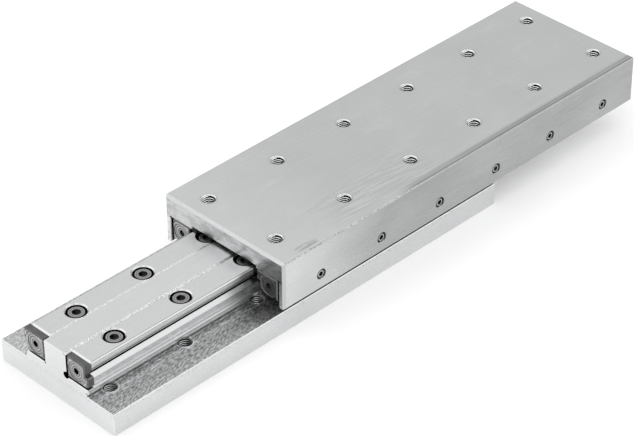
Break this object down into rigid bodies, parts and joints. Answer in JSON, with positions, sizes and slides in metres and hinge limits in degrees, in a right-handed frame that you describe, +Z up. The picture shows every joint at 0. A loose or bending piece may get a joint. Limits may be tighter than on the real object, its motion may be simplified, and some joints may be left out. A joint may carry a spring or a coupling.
{
  "type": "precision slide guide",
  "caption": "Low slide table on crossed rollers: a U-shaped carriage with V-groove rails runs along a T-shaped base, shown near full stroke.",
  "frame": {"origin": "centre of the base's underside", "axes": "+X along the travel, to the end that the carriage overhangs at rest; +Y across the table, away from the side with the set screws; +Z up, out of the carriage's top"},
  "size_m": [0.219, 0.05, 0.025],
  "materials": {
    "base_steel": "milled and ground",
    "carriage_steel": "fine ground",
    "rail_steel": "hardened and fine ground",
    "roller_steel": "lapped bearing steel",
    "cage_brass": "stamped sheet",
    "end_piece_steel": "dark burnished",
    "screw_steel": "black oxide"
  },
  "bodies": {
    "base": {"base": "base_steel", "inner_left_rail": "rail_steel", "inner_left_rail_screws": "screw_steel", "inner_left_end_piece_front": "end_piece_steel", "inner_left_end_piece_rear": "end_piece_steel", "inner_right_rail": "rail_steel", "inner_right_rail_screws": "screw_steel", "inner_right_end_piece_front": "end_piece_steel", "inner_right_end_piece_rear": "end_piece_steel", "base_end_piece_screws": "screw_steel"},
    "carriage": {"carriage": "carriage_steel", "outer_left_rail": "rail_steel", "outer_left_rail_screws": "screw_steel", "outer_left_end_piece_front": "end_piece_steel", "outer_left_end_piece_rear": "end_piece_steel", "outer_right_rail": "rail_steel", "outer_right_rail_screws": "screw_steel", "outer_right_end_piece_front": "end_piece_steel", "outer_right_end_piece_rear": "end_piece_steel", "carriage_end_piece_screws": "screw_steel", "preload_set_screws": "screw_steel"},
    "cage_left": {"roller_cage_left": "cage_brass"},
    "cage_right": {"roller_cage_right": "cage_brass"},
    "roller_left_01": {"roller_left_01": "roller_steel"},
    "roller_left_02": {"roller_left_02": "roller_steel"},
    "roller_left_03": {"roller_left_03": "roller_steel"},
    "roller_left_04": {"roller_left_04": "roller_steel"},
    "roller_left_05": {"roller_left_05": "roller_steel"},
    "roller_left_06": {"roller_left_06": "roller_steel"},
    "roller_left_07": {"roller_left_07": "roller_steel"},
    "roller_left_08": {"roller_left_08": "roller_steel"},
    "roller_left_09": {"roller_left_09": "roller_steel"},
    "roller_left_10": {"roller_left_10": "roller_steel"},
    "roller_left_11": {"roller_left_11": "roller_steel"},
    "roller_left_12": {"roller_left_12": "roller_steel"},
    "roller_left_13": {"roller_left_13": "roller_steel"},
    "roller_left_14": {"roller_left_14": "roller_steel"},
    "roller_left_15": {"roller_left_15": "roller_steel"},
    "roller_left_16": {"roller_left_16": "roller_steel"},
    "roller_right_01": {"roller_right_01": "roller_steel"},
    "roller_right_02": {"roller_right_02": "roller_steel"},
    "roller_right_03": {"roller_right_03": "roller_steel"},
    "roller_right_04": {"roller_right_04": "roller_steel"},
    "roller_right_05": {"roller_right_05": "roller_steel"},
    "roller_right_06": {"roller_right_06": "roller_steel"},
    "roller_right_07": {"roller_right_07": "roller_steel"},
    "roller_right_08": {"roller_right_08": "roller_steel"},
    "roller_right_09": {"roller_right_09": "roller_steel"},
    "roller_right_10": {"roller_right_10": "roller_steel"},
    "roller_right_11": {"roller_right_11": "roller_steel"},
    "roller_right_12": {"roller_right_12": "roller_steel"},
    "roller_right_13": {"roller_right_13": "roller_steel"},
    "roller_right_14": {"roller_right_14": "roller_steel"},
    "roller_right_15": {"roller_right_15": "roller_steel"},
    "roller_right_16": {"roller_right_16": "roller_steel"}
  },
  "joints": [
    {"name": "carriage_slide", "type": "slide", "parent": "base", "child": "carriage", "axis": [1, 0, 0], "range_m": [-0.129, 0.001]},
    {"name": "cage_left_slide", "type": "slide", "parent": "base", "child": "cage_left", "axis": [1, 0, 0], "range_m": [-0.0645, 0.0005]},
    {"name": "cage_right_slide", "type": "slide", "parent": "base", "child": "cage_right", "axis": [1, 0, 0], "range_m": [-0.0645, 0.0005]},
    {"name": "roller_left_01_spin", "type": "hinge", "parent": "cage_left", "child": "roller_left_01", "pos_m": [-0.0055, 0.0135, 0.014], "axis": [0, 0.7071, 0.7071], "continuous": true},
    {"name": "roller_left_02_spin", "type": "hinge", "parent": "cage_left", "child": "roller_left_02", "pos_m": [-0.0005, 0.0135, 0.014], "axis": [0, -0.7071, 0.7071], "continuous": true},
    {"name": "roller_left_03_spin", "type": "hinge", "parent": "cage_left", "child": "roller_left_03", "pos_m": [0.0045, 0.0135, 0.014], "axis": [0, 0.7071, 0.7071], "continuous": true},
    {"name": "roller_left_04_spin", "type": "hinge", "parent": "cage_left", "child": "roller_left_04", "pos_m": [0.0095, 0.0135, 0.014], "axis": [0, -0.7071, 0.7071], "continuous": true},
    {"name": "roller_left_05_spin", "type": "hinge", "parent": "cage_left", "child": "roller_left_05", "pos_m": [0.0145, 0.0135, 0.014], "axis": [0, 0.7071, 0.7071], "continuous": true},
    {"name": "roller_left_06_spin", "type": "hinge", "parent": "cage_left", "child": "roller_left_06", "pos_m": [0.0195, 0.0135, 0.014], "axis": [0, -0.7071, 0.7071], "continuous": true},
    {"name": "roller_left_07_spin", "type": "hinge", "parent": "cage_left", "child": "roller_left_07", "pos_m": [0.0245, 0.0135, 0.014], "axis": [0, 0.7071, 0.7071], "continuous": true},
    {"name": "roller_left_08_spin", "type": "hinge", "parent": "cage_left", "child": "roller_left_08", "pos_m": [0.0295, 0.0135, 0.014], "axis": [0, -0.7071, 0.7071], "continuous": true},
    {"name": "roller_left_09_spin", "type": "hinge", "parent": "cage_left", "child": "roller_left_09", "pos_m": [0.0345, 0.0135, 0.014], "axis": [0, 0.7071, 0.7071], "continuous": true},
    {"name": "roller_left_10_spin", "type": "hinge", "parent": "cage_left", "child": "roller_left_10", "pos_m": [0.0395, 0.0135, 0.014], "axis": [0, -0.7071, 0.7071], "continuous": true},
    {"name": "roller_left_11_spin", "type": "hinge", "parent": "cage_left", "child": "roller_left_11", "pos_m": [0.0445, 0.0135, 0.014], "axis": [0, 0.7071, 0.7071], "continuous": true},
    {"name": "roller_left_12_spin", "type": "hinge", "parent": "cage_left", "child": "roller_left_12", "pos_m": [0.0495, 0.0135, 0.014], "axis": [0, -0.7071, 0.7071], "continuous": true},
    {"name": "roller_left_13_spin", "type": "hinge", "parent": "cage_left", "child": "roller_left_13", "pos_m": [0.0545, 0.0135, 0.014], "axis": [0, 0.7071, 0.7071], "continuous": true},
    {"name": "roller_left_14_spin", "type": "hinge", "parent": "cage_left", "child": "roller_left_14", "pos_m": [0.0595, 0.0135, 0.014], "axis": [0, -0.7071, 0.7071], "continuous": true},
    {"name": "roller_left_15_spin", "type": "hinge", "parent": "cage_left", "child": "roller_left_15", "pos_m": [0.0645, 0.0135, 0.014], "axis": [0, 0.7071, 0.7071], "continuous": true},
    {"name": "roller_left_16_spin", "type": "hinge", "parent": "cage_left", "child": "roller_left_16", "pos_m": [0.0695, 0.0135, 0.014], "axis": [0, -0.7071, 0.7071], "continuous": true},
    {"name": "roller_right_01_spin", "type": "hinge", "parent": "cage_right", "child": "roller_right_01", "pos_m": [-0.0055, -0.0135, 0.014], "axis": [0, 0.7071, 0.7071], "continuous": true},
    {"name": "roller_right_02_spin", "type": "hinge", "parent": "cage_right", "child": "roller_right_02", "pos_m": [-0.0005, -0.0135, 0.014], "axis": [0, -0.7071, 0.7071], "continuous": true},
    {"name": "roller_right_03_spin", "type": "hinge", "parent": "cage_right", "child": "roller_right_03", "pos_m": [0.0045, -0.0135, 0.014], "axis": [0, 0.7071, 0.7071], "continuous": true},
    {"name": "roller_right_04_spin", "type": "hinge", "parent": "cage_right", "child": "roller_right_04", "pos_m": [0.0095, -0.0135, 0.014], "axis": [0, -0.7071, 0.7071], "continuous": true},
    {"name": "roller_right_05_spin", "type": "hinge", "parent": "cage_right", "child": "roller_right_05", "pos_m": [0.0145, -0.0135, 0.014], "axis": [0, 0.7071, 0.7071], "continuous": true},
    {"name": "roller_right_06_spin", "type": "hinge", "parent": "cage_right", "child": "roller_right_06", "pos_m": [0.0195, -0.0135, 0.014], "axis": [0, -0.7071, 0.7071], "continuous": true},
    {"name": "roller_right_07_spin", "type": "hinge", "parent": "cage_right", "child": "roller_right_07", "pos_m": [0.0245, -0.0135, 0.014], "axis": [0, 0.7071, 0.7071], "continuous": true},
    {"name": "roller_right_08_spin", "type": "hinge", "parent": "cage_right", "child": "roller_right_08", "pos_m": [0.0295, -0.0135, 0.014], "axis": [0, -0.7071, 0.7071], "continuous": true},
    {"name": "roller_right_09_spin", "type": "hinge", "parent": "cage_right", "child": "roller_right_09", "pos_m": [0.0345, -0.0135, 0.014], "axis": [0, 0.7071, 0.7071], "continuous": true},
    {"name": "roller_right_10_spin", "type": "hinge", "parent": "cage_right", "child": "roller_right_10", "pos_m": [0.0395, -0.0135, 0.014], "axis": [0, -0.7071, 0.7071], "continuous": true},
    {"name": "roller_right_11_spin", "type": "hinge", "parent": "cage_right", "child": "roller_right_11", "pos_m": [0.0445, -0.0135, 0.014], "axis": [0, 0.7071, 0.7071], "continuous": true},
    {"name": "roller_right_12_spin", "type": "hinge", "parent": "cage_right", "child": "roller_right_12", "pos_m": [0.0495, -0.0135, 0.014], "axis": [0, -0.7071, 0.7071], "continuous": true},
    {"name": "roller_right_13_spin", "type": "hinge", "parent": "cage_right", "child": "roller_right_13", "pos_m": [0.0545, -0.0135, 0.014], "axis": [0, 0.7071, 0.7071], "continuous": true},
    {"name": "roller_right_14_spin", "type": "hinge", "parent": "cage_right", "child": "roller_right_14", "pos_m": [0.0595, -0.0135, 0.014], "axis": [0, -0.7071, 0.7071], "continuous": true},
    {"name": "roller_right_15_spin", "type": "hinge", "parent": "cage_right", "child": "roller_right_15", "pos_m": [0.0645, -0.0135, 0.014], "axis": [0, 0.7071, 0.7071], "continuous": true},
    {"name": "roller_right_16_spin", "type": "hinge", "parent": "cage_right", "child": "roller_right_16", "pos_m": [0.0695, -0.0135, 0.014], "axis": [0, -0.7071, 0.7071], "continuous": true}
  ],
  "couplings": [
    {"joint": "cage_left_slide", "follows": "carriage_slide", "ratio": 0.5},
    {"joint": "cage_right_slide", "follows": "carriage_slide", "ratio": 0.5},
    {"joint": "roller_left_01_spin", "follows": "carriage_slide", "rad_per_m": -333.33},
    {"joint": "roller_left_02_spin", "follows": "carriage_slide", "rad_per_m": -333.33},
    {"joint": "roller_left_03_spin", "follows": "carriage_slide", "rad_per_m": -333.33},
    {"joint": "roller_left_04_spin", "follows": "carriage_slide", "rad_per_m": -333.33},
    {"joint": "roller_left_05_spin", "follows": "carriage_slide", "rad_per_m": -333.33},
    {"joint": "roller_left_06_spin", "follows": "carriage_slide", "rad_per_m": -333.33},
    {"joint": "roller_left_07_spin", "follows": "carriage_slide", "rad_per_m": -333.33},
    {"joint": "roller_left_08_spin", "follows": "carriage_slide", "rad_per_m": -333.33},
    {"joint": "roller_left_09_spin", "follows": "carriage_slide", "rad_per_m": -333.33},
    {"joint": "roller_left_10_spin", "follows": "carriage_slide", "rad_per_m": -333.33},
    {"joint": "roller_left_11_spin", "follows": "carriage_slide", "rad_per_m": -333.33},
    {"joint": "roller_left_12_spin", "follows": "carriage_slide", "rad_per_m": -333.33},
    {"joint": "roller_left_13_spin", "follows": "carriage_slide", "rad_per_m": -333.33},
    {"joint": "roller_left_14_spin", "follows": "carriage_slide", "rad_per_m": -333.33},
    {"joint": "roller_left_15_spin", "follows": "carriage_slide", "rad_per_m": -333.33},
    {"joint": "roller_left_16_spin", "follows": "carriage_slide", "rad_per_m": -333.33},
    {"joint": "roller_right_01_spin", "follows": "carriage_slide", "rad_per_m": 333.33},
    {"joint": "roller_right_02_spin", "follows": "carriage_slide", "rad_per_m": 333.33},
    {"joint": "roller_right_03_spin", "follows": "carriage_slide", "rad_per_m": 333.33},
    {"joint": "roller_right_04_spin", "follows": "carriage_slide", "rad_per_m": 333.33},
    {"joint": "roller_right_05_spin", "follows": "carriage_slide", "rad_per_m": 333.33},
    {"joint": "roller_right_06_spin", "follows": "carriage_slide", "rad_per_m": 333.33},
    {"joint": "roller_right_07_spin", "follows": "carriage_slide", "rad_per_m": 333.33},
    {"joint": "roller_right_08_spin", "follows": "carriage_slide", "rad_per_m": 333.33},
    {"joint": "roller_right_09_spin", "follows": "carriage_slide", "rad_per_m": 333.33},
    {"joint": "roller_right_10_spin", "follows": "carriage_slide", "rad_per_m": 333.33},
    {"joint": "roller_right_11_spin", "follows": "carriage_slide", "rad_per_m": 333.33},
    {"joint": "roller_right_12_spin", "follows": "carriage_slide", "rad_per_m": 333.33},
    {"joint": "roller_right_13_spin", "follows": "carriage_slide", "rad_per_m": 333.33},
    {"joint": "roller_right_14_spin", "follows": "carriage_slide", "rad_per_m": 333.33},
    {"joint": "roller_right_15_spin", "follows": "carriage_slide", "rad_per_m": 333.33},
    {"joint": "roller_right_16_spin", "follows": "carriage_slide", "rad_per_m": 333.33}
  ]
}
